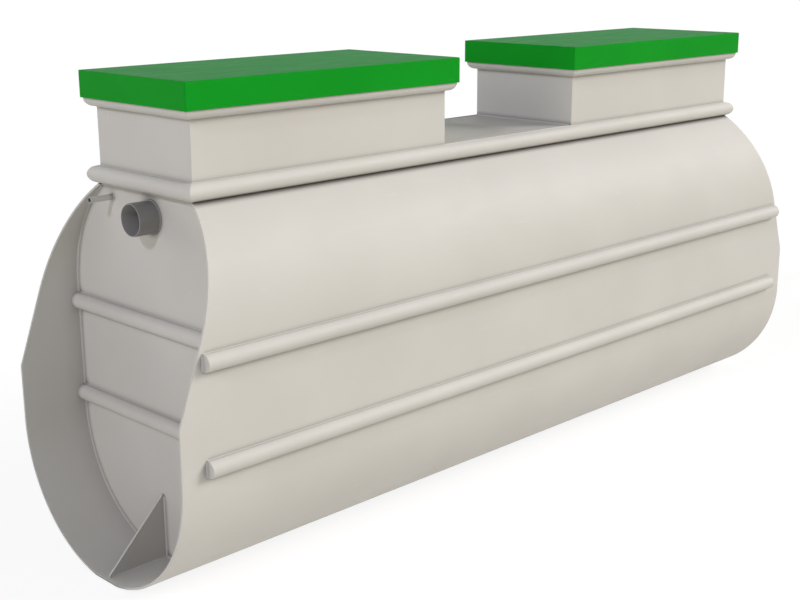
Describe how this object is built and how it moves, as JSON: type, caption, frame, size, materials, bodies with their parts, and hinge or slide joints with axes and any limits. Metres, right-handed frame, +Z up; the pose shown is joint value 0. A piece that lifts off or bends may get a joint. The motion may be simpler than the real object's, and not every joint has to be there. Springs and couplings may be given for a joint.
{
  "type": "septic tank",
  "caption": "Horizontal plastic septic tank: oval shell with inset ends, long collar, box necks with lift-off green lids and half-round stiffening beads.",
  "frame": {"origin": "on the ground below the middle of the tank", "axes": "+X along the tank towards the outlet end, +Y across it towards the back, +Z up"},
  "size_m": [3.5, 1.0018, 1.67],
  "materials": {
    "sheet": "satin light grey polypropylene sheet",
    "lid": "satin green plastic",
    "pipe": "satin dark grey drain pipe"
  },
  "bodies": {
    "root": {"shell_bottom": "sheet", "shell_side_front": "sheet", "shell_side_back": "sheet", "shell_shoulder_front": "sheet", "shell_shoulder_back": "sheet", "inlet_bulkhead": "sheet", "outlet_bulkhead": "sheet", "inlet_gusset": "sheet", "outlet_gusset": "sheet", "collar_side_front": "sheet", "collar_side_back": "sheet", "deck": "sheet", "inlet_neck_outer_wall": "sheet", "inlet_neck_inner_wall": "sheet", "inlet_neck_front_wall": "sheet", "inlet_neck_back_wall": "sheet", "outlet_neck_outer_wall": "sheet", "outlet_neck_inner_wall": "sheet", "outlet_neck_front_wall": "sheet", "outlet_neck_back_wall": "sheet", "collar_bead_front": "sheet", "collar_bead_back": "sheet", "collar_bead_inlet": "sheet", "collar_bead_outlet": "sheet", "inlet_neck_bead": "sheet", "outlet_neck_bead": "sheet", "side_bead_front_low": "sheet", "side_bead_front_high": "sheet", "side_bead_back_low": "sheet", "side_bead_back_high": "sheet", "inlet_bead_low": "sheet", "inlet_bead_high": "sheet", "outlet_bead_low": "sheet", "outlet_bead_high": "sheet", "inlet_pipe": "pipe", "outlet_pipe": "pipe", "hose_sleeve": "sheet", "inlet_lid": "lid", "outlet_lid": "lid"}
  },
  "joints": []
}
